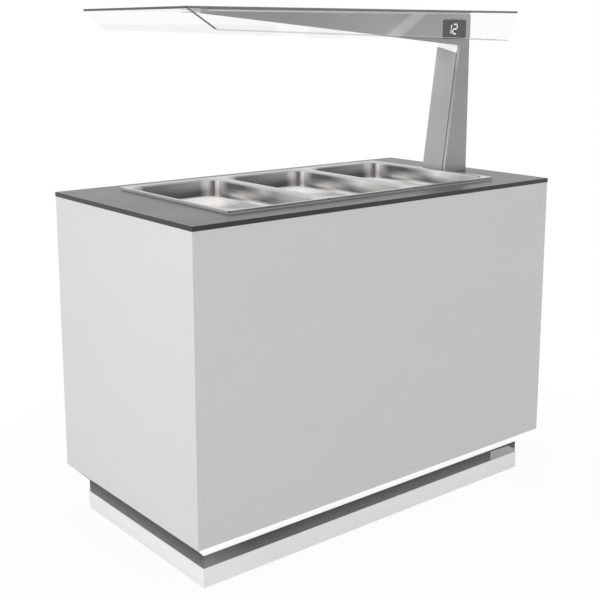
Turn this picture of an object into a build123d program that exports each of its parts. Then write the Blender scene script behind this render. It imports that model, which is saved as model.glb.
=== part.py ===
from build123d import *
import os
from math import hypot, radians, sin

# Refrigerated buffet counter with a glass guard on one post, in millimetres, +Z up.
# The origin is on the floor under the middle of the worktop.
# The long front faces -Y and the post stands at the +X end.

# Whole counter
end_margin = 158.5
side_margin = 79
worktop_height = 940
worktop_thickness = 12.5
worktop_edge = 0.6
overall_height = 1438
body_bottom = 134.5

# Cladding and frame
panel_thickness = 16
panel_setback = 1
rear_setback = 8
frame_width = 24
frame_height = 30
frame_wall = 2
cross_tube_inset = 150

# Plinth, skirts and feet
plinth_setback = 45
plinth_thickness = 12
band_top = 90.5
band_bottom = 54.5
band_recess = 2
kick_floor_gap = 3
skirt_setback = 2
diffuser_thickness = 5
foot_inset = 100
foot_radius = 28
foot_pad_top_radius = 17
foot_pad_height = 12
foot_stem_radius = 7
foot_nut_radius = 14
foot_nut_height = 12

# Clearances shared by the whole counter
fit_clearance = 0.3
seam = 0.3
overshoot = 1

# Pans
pan_width = 325
pan_length = 530
pan_count = 3
pan_gap = 1
pan_depth = 55
pan_sheet = 1.2
pan_rim_width = 15
pan_rim_corner = 9
pan_corner = 52
pan_draft = 4
pan_floor_radius = 11
pan_rim_bend = 7.5
pan_hem_width = 4
pan_hem_height = 5.2

# Well
well_flange_inset = 2.5
well_flange_height = 3.5
well_wall = 1.5
well_pan_clearance = 1.5
well_depth = 150
well_corner = 14
cutout_clearance = 1
insulation_thickness = 28
casing_wall = 1.2
bar_width = 16
bar_height = 10
bar_bracket_reach = 14
bar_bracket_height = 4
bar_end_clearance = 0.5

# Evaporator coil and drain
coil_radius = 5
coil_runs = 6
coil_side_margin = 56
coil_end_margin = 49.5
coil_end_overhang = 30
coil_bend_flat = 4
tail_bend = 18
tail_length = 20
drain_x = -250
drain_radius = 14
drain_wall = 2
drain_flange_radius = 22
drain_flange_height = 2
drain_length = 70
valve_radius = 20
valve_ball_radius = 23
valve_neck_radius = 16
valve_height = 54
valve_spindle_radius = 6
valve_spindle_length = 14
lever_length = 70
lever_width = 14
lever_eye_radius = 11
lever_thickness = 4

# Service door at the rear
door_centre_x = 100
door_width = 620
door_gap = 4
slot_length = 210
slot_height = 9
slot_pitch = 24
slot_rows = 11
slot_columns = 2
slot_column_pitch = 250
slot_lowest = 210
hinge_radius = 3.5
hinge_pin_radius = 1.8
hinge_leaf_width = 26
hinge_leaf_thickness = 2
hinge_knuckle = 22
hinge_knuckle_gap = 0.4
hinge_inset = 110
latch_height = 480
latch_inset = 38
latch_radius = 13
latch_knob_height = 3
latch_grip_width = 6
latch_grip_length = 21
latch_grip_height = 4
latch_shaft_radius = 5
latch_cam_overlap = 12
latch_cam_width = 14
latch_cam_thickness = 3

# Condensing unit
unit_width = 380
unit_front_y = -100
tray_thickness = 2
tray_lip = 18
condenser_width = 300
condenser_height = 290
condenser_thickness = 44
condenser_core = 14
condenser_rear_gap = 8
fin_count = 25
fin_thickness = 1.5
end_plate_thickness = 3
return_bend_radius = 16
return_tube_radius = 5
return_bend_count = 4
shroud_thickness = 40
shroud_wall = 2
fan_radius = 112
fan_tip_clearance = 8
fan_hub_radius = 34
fan_hub_length = 26
fan_hub_edge = 5
fan_blade_count = 5
fan_blade_chord = 74
fan_blade_thickness = 2
fan_blade_pitch = 27
fan_blade_root = 6
fan_shaft_radius = 4
fan_motor_radius = 40
fan_motor_length = 52
fan_motor_gap = 0.6
fan_shaft_end = 2
motor_arm_width = 16
motor_arm_thickness = 4
compressor_offset = 85
compressor_front_gap = 105
compressor_radius = 80
compressor_dome_radius = 48
compressor_height = 170
compressor_foot_size = 190
compressor_foot_thickness = 4
grommet_radius = 12
grommet_height = 12
terminal_width = 64
terminal_height = 64
terminal_depth = 26
stub_height = 105
stub_length = 22
line_radius = 5
line_bend = 28
discharge_bend = 21
condenser_inlet_height = 246
condenser_outlet_height = 72
liquid_line_offset = 70
discharge_line_offset = 30
drier_radius = 12
drier_length = 90
drier_end_radius = 8

# Controls on the rear
control_box_width = 170
control_box_height = 130
control_box_depth = 80
control_box_wall = 1.5
control_box_drop = 40
switch_width = 30
switch_height = 24
switch_bezel_proud = 2
switch_body_depth = 24
rocker_width = 18.8
rocker_height = 14
rocker_depth = 9
rocker_dish_radius = 28
rocker_dish_depth = 1.4
rocker_side_clearance = 0.6
rocker_end_clearance = 1
rocker_tilt = 9
gland_z = 200
gland_radius = 13
gland_barrel_radius = 9
gland_bore = 5
gland_nut_height = 6

# Post and beam
post_end_gap = 43.5
post_pan_gap = 17
post_top_width = 41.5
post_depth = 98
post_foot_thickness = 5
cheek_thickness = 10
cover_thickness = 3
cover_groove = 3
cover_top_gap_front = 23.5
cover_top_gap_rear = 5.5
beam_tip_gap = 230
beam_tip_height = 4.5
beam_root_height = 93.5
rear_beam_rise = 9
beam_plate_thickness = 2
beam_diffuser_thickness = 5
beam_diffuser_recess = 2
beam_diffuser_inset = 80
anchor_thickness = 6
anchor_clearance = 3
bolt_radius = 5
bolt_head_radius = 9
bolt_head_height = 6
bolt_spread_x = 36
bolt_spread_y = 44

# Display on the front cheek
display_width = 105
display_height = 57.5
display_corner = 9
display_thickness = 3.5
display_pocket = 3
display_right_gap = 20.5
display_top_gap = 15.5

# Glass guard
glass_end_gap = 60
glass_side_gap = 91.5
glass_thickness = 6
glass_edge = 0.5
pane_drop_left = 49.5
pane_drop_right = 81
pane_end_cut = 70
pane_lean = 0.34
glass_disc_radius = 28
glass_disc_height = 2.5
glass_disc_count = 4
glass_disc_inset = 72
glass_disc_outer_gap = 56.5

# Places worked out from the sizes above
pan_pitch = pan_width + pan_gap
array_half_x = (pan_count * pan_pitch - pan_gap) / 2
array_half_y = pan_length / 2
half_length = array_half_x + end_margin
half_depth = array_half_y + side_margin
worktop_bottom = worktop_height - worktop_thickness
inner_x = half_length - panel_setback - panel_thickness
inner_front = -(half_depth - panel_setback - panel_thickness)
rear_face = half_depth - rear_setback
inner_rear = rear_face - panel_thickness
base_frame_top = body_bottom + frame_height
top_frame_bottom = worktop_bottom - frame_height
cross_tube_x = half_length - cross_tube_inset
foot_y = half_depth - foot_inset
flange_top = worktop_height + well_flange_height
pan_top = flange_top + pan_hem_height
tub_inner_x = array_half_x - pan_rim_width + well_pan_clearance
tub_inner_y = array_half_y - pan_rim_width + well_pan_clearance
tub_x = tub_inner_x + well_wall
tub_y = tub_inner_y + well_wall
tub_floor = flange_top - well_depth
tub_bottom = tub_floor - well_wall
coil_z = tub_bottom - fit_clearance - coil_radius
coil_space_bottom = coil_z - coil_radius - fit_clearance
insulation_bottom = coil_space_bottom - insulation_thickness
casing_bottom = insulation_bottom - casing_wall
coil_first_y = coil_side_margin - tub_y
coil_spacing = -2 * coil_first_y / (coil_runs - 1)
coil_bend = coil_spacing / 2 - coil_bend_flat
coil_tail_x = coil_end_margin - tub_x
coil_half_length = -coil_tail_x - coil_end_overhang
coil_tail_bottom = casing_bottom - tail_length
door_left = door_centre_x - door_width / 2
door_right = door_centre_x + door_width / 2
door_bottom = body_bottom + door_gap
door_top = worktop_bottom - door_gap
latch_x = door_left + latch_inset
latch_cam_length = latch_inset + door_gap + latch_cam_overlap
control_box_x = (door_left - inner_x) / 2
control_box_z = casing_bottom - control_box_drop - control_box_height / 2
rocker_axis_y = rear_face - switch_bezel_proud / 2
gland_x = (door_right + inner_x) / 2
tray_bottom = base_frame_top + tray_thickness
tray_top = tray_bottom + tray_thickness
condenser_rear = inner_rear - frame_width - condenser_rear_gap
condenser_front = condenser_rear - condenser_thickness
condenser_middle = (condenser_front + condenser_rear) / 2
condenser_left = door_centre_x - condenser_width / 2
condenser_right = door_centre_x + condenser_width / 2
condenser_top = tray_top + condenser_height
shroud_front = condenser_front - shroud_thickness
fan_y = shroud_front
fan_z = tray_top + condenser_height / 2
compressor_x = door_centre_x - compressor_offset
compressor_y = unit_front_y + compressor_front_gap
stub_z = tray_top + stub_height
drain_low = casing_bottom - drain_length
valve_low = drain_low - valve_height
valve_middle = drain_low - valve_height / 2
spindle_end = valve_radius + valve_spindle_length
glass_bottom = overall_height - glass_thickness
beam_top = glass_bottom - glass_disc_height
beam_root_bottom = beam_top - beam_root_height
foot_top = worktop_height + post_foot_thickness
post_outer_x = half_length - post_end_gap
post_base_left = array_half_x + post_pan_gap
post_top_left = post_outer_x - post_top_width
post_half = post_depth / 2
between_cheeks = post_half - cheek_thickness
cover_half = between_cheeks - seam
cover_front = cover_groove - between_cheeks
beam_tip_x = beam_tip_gap - half_length
beam_slope = (beam_root_height - beam_tip_height) / (post_top_left - beam_tip_x)
rear_root_bottom = beam_root_bottom + rear_beam_rise
post_taper = (post_top_left - post_base_left) / (beam_root_bottom - foot_top)
rear_top_left = post_top_left + rear_beam_rise * post_taper
rear_tip_x = beam_tip_x + rear_beam_rise / beam_slope
display_x = post_outer_x - display_right_gap - display_width / 2
display_z = beam_top - display_top_gap - display_height / 2
anchor_left = tub_x + insulation_thickness + casing_wall + anchor_clearance
anchor_right = inner_x - frame_width - anchor_clearance
anchor_bottom = worktop_bottom - anchor_thickness
glass_half_x = half_length - glass_end_gap
glass_half_y = half_depth - glass_side_gap
plinth_inner = plinth_setback + plinth_thickness


def block(x0, x1, y0, y1, z0, z1):
    """Square block between two corners."""
    return Pos((x0 + x1) / 2, (y0 + y1) / 2, (z0 + z1) / 2) * Box(x1 - x0, y1 - y0, z1 - z0)


def rod(x, y, z0, z1, radius):
    """Upright round bar."""
    return Pos(x, y, (z0 + z1) / 2) * Cylinder(radius, z1 - z0)


def rod_y(x, z, y0, y1, radius):
    """Round bar along Y."""
    return Pos(x, (y0 + y1) / 2, z) * Rot(90, 0, 0) * Cylinder(radius, y1 - y0)


def plan_prism(points, z0, z1):
    """Outline in plan, drawn up from z0 to z1."""
    return extrude(Pos(0, 0, z0) * make_face(Polyline(*points, close=True)), amount=z1 - z0, dir=(0, 0, 1))


def side_prism(points, y0, y1):
    """Outline in X and Z, drawn along Y from y0 to y1."""
    outline = Polyline(*[(x, y0, z) for x, z in points], close=True)
    return extrude(make_face(outline), amount=y1 - y0, dir=(0, 1, 0))


def end_prism(points, x0, x1):
    """Outline in Y and Z, drawn along X from x0 to x1."""
    outline = Polyline(*[(x0, y, z) for y, z in points], close=True)
    return extrude(make_face(outline), amount=x1 - x0, dir=(1, 0, 0))


def box_tube(x0, x1, y0, y1, z0, z1, axis):
    """Square tube that is open at both ends of one axis."""
    w = frame_wall
    spare = {"x": (0, w, w), "y": (w, 0, w), "z": (w, w, 0)}[axis]
    inside = block(x0 + spare[0], x1 - spare[0], y0 + spare[1], y1 - spare[1], z0 + spare[2], z1 - spare[2])
    return block(x0, x1, y0, y1, z0, z1) - inside


def upright_block(size_x, size_y, corner, z0, z1, draft=0):
    """Block with rounded upright corners, drawn downwards and narrowing by the draft angle."""
    top = Pos(0, 0, z1) * RectangleRounded(size_x, size_y, corner)
    return extrude(top, amount=z1 - z0, dir=(0, 0, -1), taper=draft)


def bent_tube(points, radius, bend):
    """Round tube along straight runs joined by arcs."""
    path = FilletPolyline(*points, radius=bend)
    start = Plane(origin=path @ 0, z_dir=path % 0)
    return sweep(start * Circle(radius), path=path)


def hexagon(radius, height):
    """Six-sided prism that stands on the origin."""
    return extrude(RegularPolygon(radius, 6), amount=height)


def mitred_run(profile, half, side_depth):
    """Profile of (setback, height) points along the front edge, with both ends mitred at 45 degrees."""
    bar = end_prism([(-side_depth + r, z) for r, z in profile], -half, half)
    reach = max(r for r, z in profile) + overshoot
    heights = [z for r, z in profile]
    near, far = -side_depth, reach - side_depth
    ends = [(-half, near), (half, near), (half - reach, far), (reach - half, far)]
    return bar & plan_prism(ends, min(heights), max(heights))


def plinth_run(profile, side):
    """Mitred run under one side of the counter."""
    turn = {"front": 0, "right": 90, "rear": 180, "left": 270}[side]
    if side in ("front", "rear"):
        return Rot(0, 0, turn) * mitred_run(profile, half_length, half_depth)
    return Rot(0, 0, turn) * mitred_run(profile, half_depth, half_length)


def save(name, *solids):
    """Writes one node, which may hold several separate solids."""
    shape = solids[0] if len(solids) == 1 else Compound(children=list(solids))
    shape.label = name
    export_step(shape, os.path.join("parts", name + ".step"))


def levelling_foot(x, y):
    """Pad, stem and lock nut that meets the cross tube."""
    pad = Pos(0, 0, foot_pad_height / 2) * Cone(foot_radius, foot_pad_top_radius, foot_pad_height)
    nut_bottom = body_bottom - foot_nut_height
    nut = Pos(0, 0, nut_bottom) * hexagon(foot_nut_radius, foot_nut_height)
    stem = rod(0, 0, foot_pad_height / 2, nut_bottom + foot_nut_height / 2, foot_stem_radius)
    return Pos(x, y, 0) * (pad + stem + nut)


def frame_ring(z0, z1):
    """Two long tubes and two end tubes just inside the cladding."""
    y0, y1 = inner_front, inner_rear
    w = frame_width
    return [
        box_tube(-inner_x, inner_x, y0, y0 + w, z0, z1, "x"),
        box_tube(-inner_x, inner_x, y1 - w, y1, z0, z1, "x"),
        box_tube(-inner_x, -inner_x + w, y0 + w, y1 - w, z0, z1, "y"),
        box_tube(inner_x - w, inner_x, y0 + w, y1 - w, z0, z1, "y"),
    ]


def base_frame():
    """Ring at the bottom of the body with two cross tubes that carry the feet."""
    half = frame_width / 2
    y0, y1 = inner_front + frame_width, inner_rear - frame_width
    cross = [box_tube(x - half, x + half, y0, y1, body_bottom, base_frame_top, "y")
             for x in (-cross_tube_x, cross_tube_x)]
    return frame_ring(body_bottom, base_frame_top) + cross


def corner_uprights():
    """Four posts between the base frame and the top frame."""
    w = frame_width
    posts = []
    for x in (-inner_x, inner_x - w):
        for y in (inner_front, inner_rear - w):
            posts.append(box_tube(x, x + w, y, y + w, base_frame_top, top_frame_bottom, "z"))
    return posts


def front_panel():
    """Front board, mitred where it meets the two end boards."""
    x0, y0 = half_length - panel_setback, -half_depth + panel_setback
    x1, y1 = x0 - panel_thickness, y0 + panel_thickness
    return plan_prism([(-x0, y0), (x0, y0), (x1, y1), (-x1, y1)], body_bottom, worktop_bottom)


def left_panel():
    """End board, mitred at the front and square at the rear."""
    x0, y0 = -half_length + panel_setback, -half_depth + panel_setback
    x1, y1 = x0 + panel_thickness, y0 + panel_thickness
    rear = half_depth - panel_setback
    return plan_prism([(x0, y0), (x1, y1), (x1, rear), (x0, rear)], body_bottom, worktop_bottom)


def rear_panel_left():
    """Fixed rear board with the cut-out of the power switch."""
    board = block(-inner_x, door_left - door_gap, inner_rear, rear_face, body_bottom, worktop_bottom)
    w = switch_width / 2 - switch_bezel_proud + fit_clearance
    h = switch_height / 2 - switch_bezel_proud + fit_clearance
    x, z = control_box_x, control_box_z
    return board - block(x - w, x + w, inner_rear - overshoot, rear_face + overshoot, z - h, z + h)


def rear_panel_right():
    """Fixed rear board with the hole of the cable gland."""
    board = block(door_right + door_gap, inner_x, inner_rear, rear_face, body_bottom, worktop_bottom)
    hole = gland_barrel_radius + fit_clearance
    return board - rod_y(gland_x, gland_z, inner_rear - overshoot, rear_face + overshoot, hole)


def service_door():
    """Door leaf with rows of air slots and the hole of the latch."""
    leaf = block(door_left, door_right, inner_rear, rear_face, door_bottom, door_top)
    y0, y1 = inner_rear - overshoot, rear_face + overshoot
    cuts = [rod_y(latch_x, latch_height, y0, y1, latch_shaft_radius + fit_clearance)]
    for column in range(slot_columns):
        x = door_centre_x + (column - (slot_columns - 1) / 2) * slot_column_pitch
        for row in range(slot_rows):
            z = slot_lowest + row * slot_pitch
            outline = Plane.XZ * Pos(x, z) * SlotOverall(slot_length, slot_height)
            cuts.append(Pos(0, y1, 0) * extrude(outline, amount=y1 - y0))
    return leaf - cuts


def latch():
    """Knob with a grip bar, a shaft through the door and a cam behind it, shown unlocked."""
    x, z = latch_x, latch_height
    knob = rod_y(x, z, rear_face, rear_face + latch_knob_height, latch_radius)
    g, h = latch_grip_width / 2, latch_grip_length / 2
    grip_rear = rear_face + latch_knob_height + latch_grip_height
    grip = block(x - g, x + g, rear_face + latch_knob_height, grip_rear, z - h, z + h)
    cam_rear = inner_rear - fit_clearance
    shaft = rod_y(x, z, cam_rear - latch_cam_thickness, rear_face, latch_shaft_radius)
    c = latch_cam_width / 2
    cam = block(x - c, x + c, cam_rear - latch_cam_thickness, cam_rear, z - c, z + latch_cam_length)
    return knob + grip + shaft + cam


def hinge_places():
    """Axis of the door in plan and the middle heights of its two hinges."""
    x = door_right + door_gap / 2
    y = rear_face + hinge_radius
    return x, y, (door_bottom + hinge_inset, door_top - hinge_inset)


def hinge_leaf(z0, z1, direction, bore):
    """One knuckle with its leaf, lying on the outer face beside the axis."""
    x, y, _ = hinge_places()
    x0, x1 = sorted((x, x + direction * hinge_leaf_width))
    plate = block(x0, x1, rear_face, rear_face + hinge_leaf_thickness, z0, z1)
    return plate + rod(x, y, z0, z1, hinge_radius) - rod(x, y, z0 - overshoot, z1 + overshoot, bore)


def door_hinge_leaves():
    """Middle knuckle of each hinge, on the door."""
    h = hinge_knuckle / 2 - hinge_knuckle_gap
    return [hinge_leaf(z - h, z + h, -1, hinge_pin_radius + fit_clearance) for z in hinge_places()[2]]


def frame_hinge_leaves():
    """Outer knuckles of each hinge with the fixed pin, on the fixed board."""
    x, y, heights = hinge_places()
    k = hinge_knuckle
    leaves = []
    for z in heights:
        low = hinge_leaf(z - 1.5 * k, z - k / 2, 1, hinge_pin_radius)
        high = hinge_leaf(z + k / 2, z + 1.5 * k, 1, hinge_pin_radius)
        leaves.append(low + high + rod(x, y, z - 1.5 * k, z + 1.5 * k, hinge_pin_radius))
    return leaves


def worktop():
    """Thin slab with the cut-out of the well and the holes of the post."""
    slab = block(-half_length, half_length, -half_depth, half_depth, worktop_bottom, worktop_height)
    slab = chamfer(slab.edges().filter_by(Axis.Z, reverse=True), worktop_edge)
    size_x = 2 * (tub_x + cutout_clearance)
    size_y = 2 * (tub_y + cutout_clearance)
    z0, z1 = worktop_bottom - overshoot, worktop_height + overshoot
    cut = upright_block(size_x, size_y, well_corner + cutout_clearance, z0, z1)
    return slab - cut - bolt_holes(z0, z1)


def well_tub():
    """Deep tub with a flange on the worktop, a drain hole and brackets for the pan bars."""
    flange = upright_block(2 * (array_half_x - well_flange_inset), 2 * (array_half_y - well_flange_inset),
                           pan_rim_corner, worktop_height, flange_top)
    tub = upright_block(2 * tub_x, 2 * tub_y, well_corner, tub_bottom, worktop_height)
    hollow = upright_block(2 * tub_inner_x, 2 * tub_inner_y, well_corner - well_wall, tub_floor, flange_top)
    tub = flange + tub - hollow
    tub = tub - rod(drain_x, 0, tub_bottom - overshoot, tub_floor + overshoot, drain_radius + fit_clearance)
    top = flange_top - bar_height
    for x in bar_places():
        x0, x1 = x - bar_width / 2, x + bar_width / 2
        for y in (-tub_inner_y, tub_inner_y - bar_bracket_reach):
            tub += block(x0, x1, y, y + bar_bracket_reach, top - bar_bracket_height, top)
    return tub


def bar_places():
    """Middle of each gap between two pans."""
    return [(i - (pan_count - 2) / 2) * pan_pitch for i in range(pan_count - 1)]


def pan_bars():
    """Bars under the rims where two pans meet."""
    half = tub_inner_y - bar_end_clearance
    return [block(x - bar_width / 2, x + bar_width / 2, -half, half, flange_top - bar_height, flange_top)
            for x in bar_places()]


def lining(grow, floor, wall, bottom_wall):
    """Open tub of one wall thickness around the well, up to the underside of the worktop."""
    outer = upright_block(2 * (tub_x + grow + wall), 2 * (tub_y + grow + wall), well_corner + grow + wall,
                          floor - bottom_wall, worktop_bottom)
    inner = upright_block(2 * (tub_x + grow), 2 * (tub_y + grow), well_corner + grow, floor, worktop_bottom)
    shell = outer - inner
    low, high = floor - bottom_wall - overshoot, floor + overshoot
    shell = shell - rod(drain_x, 0, low, high, drain_radius + fit_clearance)
    return shell - [rod(coil_tail_x, y, low, high, coil_radius + fit_clearance)
                    for y in (coil_first_y, -coil_first_y)]


def well_insulation():
    """Foam around the tub, with pockets where the coil's tails bend down."""
    foam = lining(0, coil_space_bottom, insulation_thickness, insulation_thickness)
    r = coil_radius + fit_clearance
    x0, x1 = coil_tail_x - r, coil_tail_x + tail_bend + r
    for y in (coil_first_y, -coil_first_y):
        foam = foam - block(x0, x1, y - r, y + r, coil_z - tail_bend - r, coil_space_bottom + overshoot)
    return foam


def evaporator_coil():
    """Tube that runs to and fro under the tub, with both tails led down through the insulation."""
    points = [(coil_tail_x, coil_first_y, coil_tail_bottom), (coil_tail_x, coil_first_y, coil_z)]
    for run in range(coil_runs):
        y = coil_first_y + run * coil_spacing
        end = coil_half_length if run % 2 == 0 else -coil_half_length
        if run > 0:
            points.append((-end, y, coil_z))
        if run == coil_runs - 1:
            end = coil_tail_x
        points.append((end, y, coil_z))
    points.append((coil_tail_x, -coil_first_y, coil_tail_bottom))
    bends = [tail_bend] + [coil_bend] * (2 * coil_runs - 2) + [tail_bend]
    return bent_tube(points, coil_radius, bends)


def drain_pipe():
    """Flanged pipe from the tub floor down to the valve."""
    top = tub_floor + drain_flange_height
    pipe = rod(drain_x, 0, drain_low, top, drain_radius)
    flange = rod(drain_x, 0, tub_floor, top, drain_flange_radius)
    return pipe + flange - rod(drain_x, 0, drain_low - overshoot, top + overshoot, drain_radius - drain_wall)


def drain_valve():
    """Ball valve body under the pipe, with its spindle to the rear and an outlet spout."""
    body = Pos(drain_x, 0, valve_middle) * Sphere(valve_ball_radius)
    neck = rod(drain_x, 0, valve_low, drain_low, valve_neck_radius)
    spout_end = valve_low - valve_height
    spout = rod(drain_x, 0, spout_end, valve_low, drain_radius)
    spindle = rod_y(drain_x, valve_middle, 0, spindle_end, valve_spindle_radius)
    bore = rod(drain_x, 0, spout_end - overshoot, valve_low, drain_radius - drain_wall)
    return body + neck + spout + spindle - bore


def drain_lever():
    """Lever on the valve's spindle, lying across the pipe when it is shut."""
    y0, y1 = spindle_end - lever_thickness, spindle_end
    end_x, z, half = drain_x + lever_length, valve_middle, lever_width / 2
    eye = rod_y(drain_x, z, y0, y1, lever_eye_radius)
    arm = block(drain_x, end_x, y0, y1, z - half, z + half)
    tip = rod_y(end_x, z, y0, y1, half)
    bore = rod_y(drain_x, z, y0 - overshoot, y1 + overshoot, valve_spindle_radius + fit_clearance)
    return eye + arm + tip - bore


def pan(x):
    """Pressed pan with drafted walls, a rounded floor, a bent rim and a hemmed edge."""
    size_x = pan_width - 2 * pan_rim_width
    size_y = pan_length - 2 * pan_rim_width
    s = pan_sheet
    rim_bottom = pan_top - s
    bottom = pan_top - pan_depth
    outer = upright_block(size_x, size_y, pan_corner, bottom, rim_bottom, pan_draft)
    outer = fillet(outer.edges().group_by(Axis.Z)[0], pan_floor_radius)
    body = outer + upright_block(pan_width, pan_length, pan_rim_corner, rim_bottom, pan_top)
    bend = [e for e in body.edges().filter_by_position(Axis.Z, rim_bottom - 0.01, rim_bottom + 0.01)
            if abs(e.center().X) < size_x / 2 + 1 and abs(e.center().Y) < size_y / 2 + 1]
    body = fillet(bend, pan_rim_bend)
    inner = upright_block(size_x - 2 * s, size_y - 2 * s, pan_corner - s, bottom + s, rim_bottom, pan_draft)
    inner = fillet(inner.edges().group_by(Axis.Z)[0], pan_floor_radius - s)
    mouth = upright_block(size_x - 2 * s, size_y - 2 * s, pan_corner - s, rim_bottom, pan_top)
    body = body - (inner + mouth)
    lip = [e for e in body.edges().filter_by_position(Axis.Z, pan_top - 0.01, pan_top + 0.01)
           if abs(e.center().X) < size_x / 2 and abs(e.center().Y) < size_y / 2]
    body = fillet(lip, pan_rim_bend + s)
    hem = upright_block(pan_width, pan_length, pan_rim_corner, pan_top - pan_hem_height, pan_top)
    hem = hem - upright_block(pan_width - 2 * pan_hem_width, pan_length - 2 * pan_hem_width,
                              pan_rim_corner - pan_hem_width, pan_top - pan_hem_height, pan_top)
    return Pos(x, 0, 0) * (body + hem)


def unit_tray():
    """Folded tray that carries the condensing unit."""
    x0, x1 = door_centre_x - unit_width / 2, door_centre_x + unit_width / 2
    t = tray_thickness
    tray = block(x0, x1, unit_front_y, condenser_rear, tray_bottom, tray_bottom + tray_lip)
    return tray - block(x0 + t, x1 - t, unit_front_y - overshoot, condenser_rear + overshoot, tray_top,
                        tray_bottom + tray_lip + overshoot)


def compressor():
    """Domed hermetic shell on a foot plate, with its terminal box, two stubs and four grommets."""
    x, y = compressor_x, compressor_y
    plate_z = tray_top + grommet_height
    shell_z = plate_z + compressor_foot_thickness
    shell = Pos(x, y, shell_z) * Cylinder(compressor_radius, compressor_height,
                                          align=(Align.CENTER, Align.CENTER, Align.MIN))
    shell = fillet(shell.edges().group_by(Axis.Z)[-1], compressor_dome_radius)
    half = compressor_foot_size / 2
    plate = block(x - half, x + half, y - half, y + half, plate_z, shell_z)
    spread = half - grommet_radius
    grommets = [rod(x + sx * spread, y + sy * spread, tray_top, plate_z, grommet_radius)
                for sx in (-1, 1) for sy in (-1, 1)]
    z = stub_z
    reach = compressor_radius + stub_length
    suction = Pos(x - reach / 2, y, z) * Rot(0, 90, 0) * Cylinder(line_radius, reach)
    discharge = Pos(x + reach / 2, y, z) * Rot(0, 90, 0) * Cylinder(line_radius, reach)
    w, h, front = terminal_width / 2, terminal_height / 2, y - compressor_radius - terminal_depth
    terminals = block(x - w, x + w, front, y, z - h, z + h)
    solid = shell + plate + suction + discharge + terminals
    for grommet in grommets:
        solid += grommet
    return solid


def condenser():
    """Fin pack between two end plates, with return bends at the left end."""
    x0, x1, z0, z1 = condenser_left, condenser_right, tray_top, condenser_top
    middle = condenser_middle
    pack = block(x0, x1, middle - condenser_core / 2, middle + condenser_core / 2, z0, z1)
    for i in range(fin_count):
        x = x0 + (i + 0.5) * condenser_width / fin_count
        pack += block(x - fin_thickness / 2, x + fin_thickness / 2, condenser_front, condenser_rear, z0, z1)
    for x in (x0, x1 - end_plate_thickness):
        pack += block(x, x + end_plate_thickness, condenser_front, condenser_rear, z0, z1)
    for i in range(return_bend_count):
        z = z0 + (i + 0.5) * condenser_height / return_bend_count
        bend = Pos(x0, middle, z) * Rot(90, 0, 0) * Torus(return_bend_radius, return_tube_radius)
        outside = block(x0 - 2 * return_bend_radius, x0, condenser_front, condenser_rear, z0, z1)
        pack += bend & outside
    return pack


def fan_shroud():
    """Sheet hood that leads the air from the fins to the fan."""
    x0, x1, z0, z1 = condenser_left, condenser_right, tray_top, condenser_top
    w = shroud_wall
    hood = block(x0, x1, shroud_front, condenser_front, z0, z1)
    hood = hood - block(x0 + w, x1 - w, shroud_front + w, condenser_front + overshoot, z0 + w, z1 - w)
    return hood - rod_y(door_centre_x, fan_z, shroud_front - overshoot, shroud_front + w + overshoot,
                        fan_radius + fan_tip_clearance)


def fan_rotor():
    """Hub with pitched blades, turning about Y."""
    hub = Cylinder(fan_hub_radius, fan_hub_length)
    rotor = fillet(hub.edges().group_by(Axis.Z)[0], fan_hub_edge)
    inner = fan_hub_radius - fan_blade_root
    for i in range(fan_blade_count):
        blade = Box(fan_radius - inner, fan_blade_chord, fan_blade_thickness)
        blade = Pos((fan_radius + inner) / 2, 0, 0) * Rot(fan_blade_pitch, 0, 0) * blade
        blade = blade & Cylinder(fan_radius, fan_blade_chord)
        rotor += Rot(0, 0, i * 360 / fan_blade_count) * blade
    bore = Pos(0, 0, fan_hub_length / 2) * Cylinder(fan_shaft_radius + fit_clearance, fan_hub_length)
    return Pos(door_centre_x, fan_y, fan_z) * Rot(90, 0, 0) * (rotor - bore)


def fan_motor():
    """Motor with its shaft, and three arms that reach the shroud's face."""
    blade_reach = (fan_blade_chord / 2) * sin(radians(fan_blade_pitch)) + fan_blade_thickness
    rear = fan_y - max(fan_hub_length / 2, blade_reach) - fan_motor_gap
    front = rear - fan_motor_length
    motor = rod_y(door_centre_x, fan_z, front, rear, fan_motor_radius)
    shaft = rod_y(door_centre_x, fan_z, rear, fan_y - fan_shaft_end, fan_shaft_radius)
    w = motor_arm_width / 2
    reach = fan_radius + fan_tip_clearance + w
    body = motor + shaft
    arm_rear = front + motor_arm_thickness
    for turn in (90, 210, 330):
        arm = block(0, reach + w, front, arm_rear, -w, w)
        leg = block(reach - w, reach + w, front, shroud_front, -w, w)
        body += Pos(door_centre_x, 0, fan_z) * Rot(0, turn, 0) * (arm + leg)
    return body


def suction_line():
    """From the coil's second tail down and across to the compressor."""
    end_x = compressor_x - compressor_radius - stub_length
    y = -coil_first_y
    points = [(coil_tail_x, y, coil_tail_bottom), (coil_tail_x, y, stub_z),
              (coil_tail_x, compressor_y, stub_z), (end_x, compressor_y, stub_z)]
    return bent_tube(points, line_radius, line_bend)


def liquid_line():
    """From the condenser's end plate round to the coil's first tail, with a filter drier on the way."""
    z = tray_top + condenser_outlet_height
    turn_x = coil_tail_x + liquid_line_offset
    points = [(condenser_left, condenser_middle, z), (turn_x, condenser_middle, z), (turn_x, coil_first_y, z),
              (coil_tail_x, coil_first_y, z), (coil_tail_x, coil_first_y, coil_tail_bottom)]
    tube = bent_tube(points, line_radius, line_bend)
    drier = rod_y(turn_x, z, -drier_length / 2, drier_length / 2, drier_radius)
    ends = drier.edges().group_by(Axis.Y)
    drier = fillet(ends[0] + ends[-1], drier_end_radius)
    return tube + drier


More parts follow.
